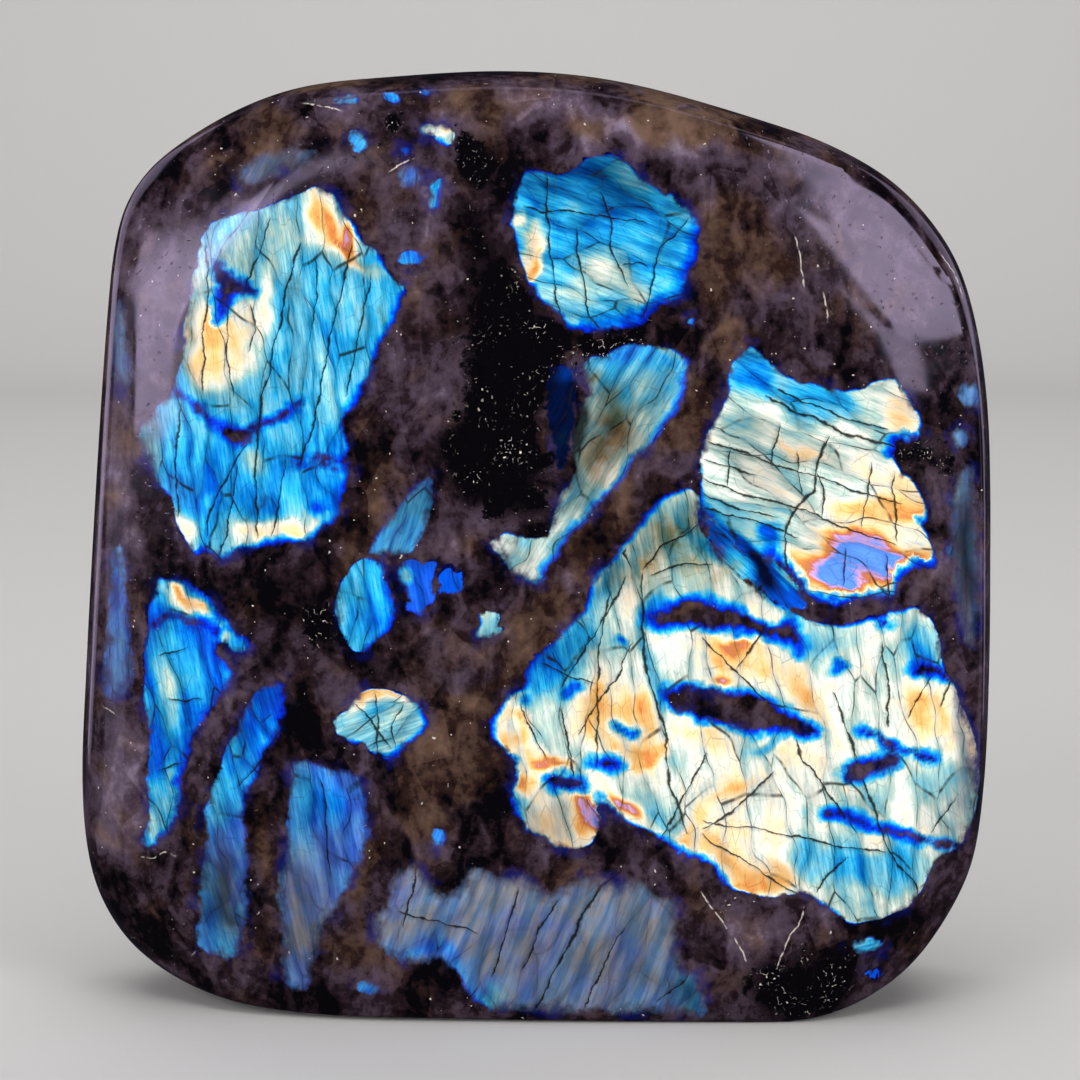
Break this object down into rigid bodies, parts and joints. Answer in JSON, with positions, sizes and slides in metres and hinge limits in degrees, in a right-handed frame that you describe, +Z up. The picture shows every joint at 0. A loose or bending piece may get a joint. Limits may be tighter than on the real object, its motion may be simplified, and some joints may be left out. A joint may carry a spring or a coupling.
{
  "type": "labradorite freeform",
  "caption": "Polished labradorite freeform: a hand-sized natural stone ground to a soft-edged slab, with a sawn flat base that it stands on.",
  "frame": {"origin": "on the surface that the stone stands on, under the middle of its bounding box", "axes": "+Z up, away from the sawn base; the flat show face looks towards -Y and +X is to its right; +Y runs through the stone's thickness"},
  "size_m": [0.1188, 0.0428, 0.121],
  "materials": {
    "polished_labradorite": "polished, dark brown-purple matrix with flashing blue, teal, cream and gold patches"
  },
  "bodies": {
    "root": {"labradorite_stone": "polished_labradorite"}
  },
  "joints": []
}
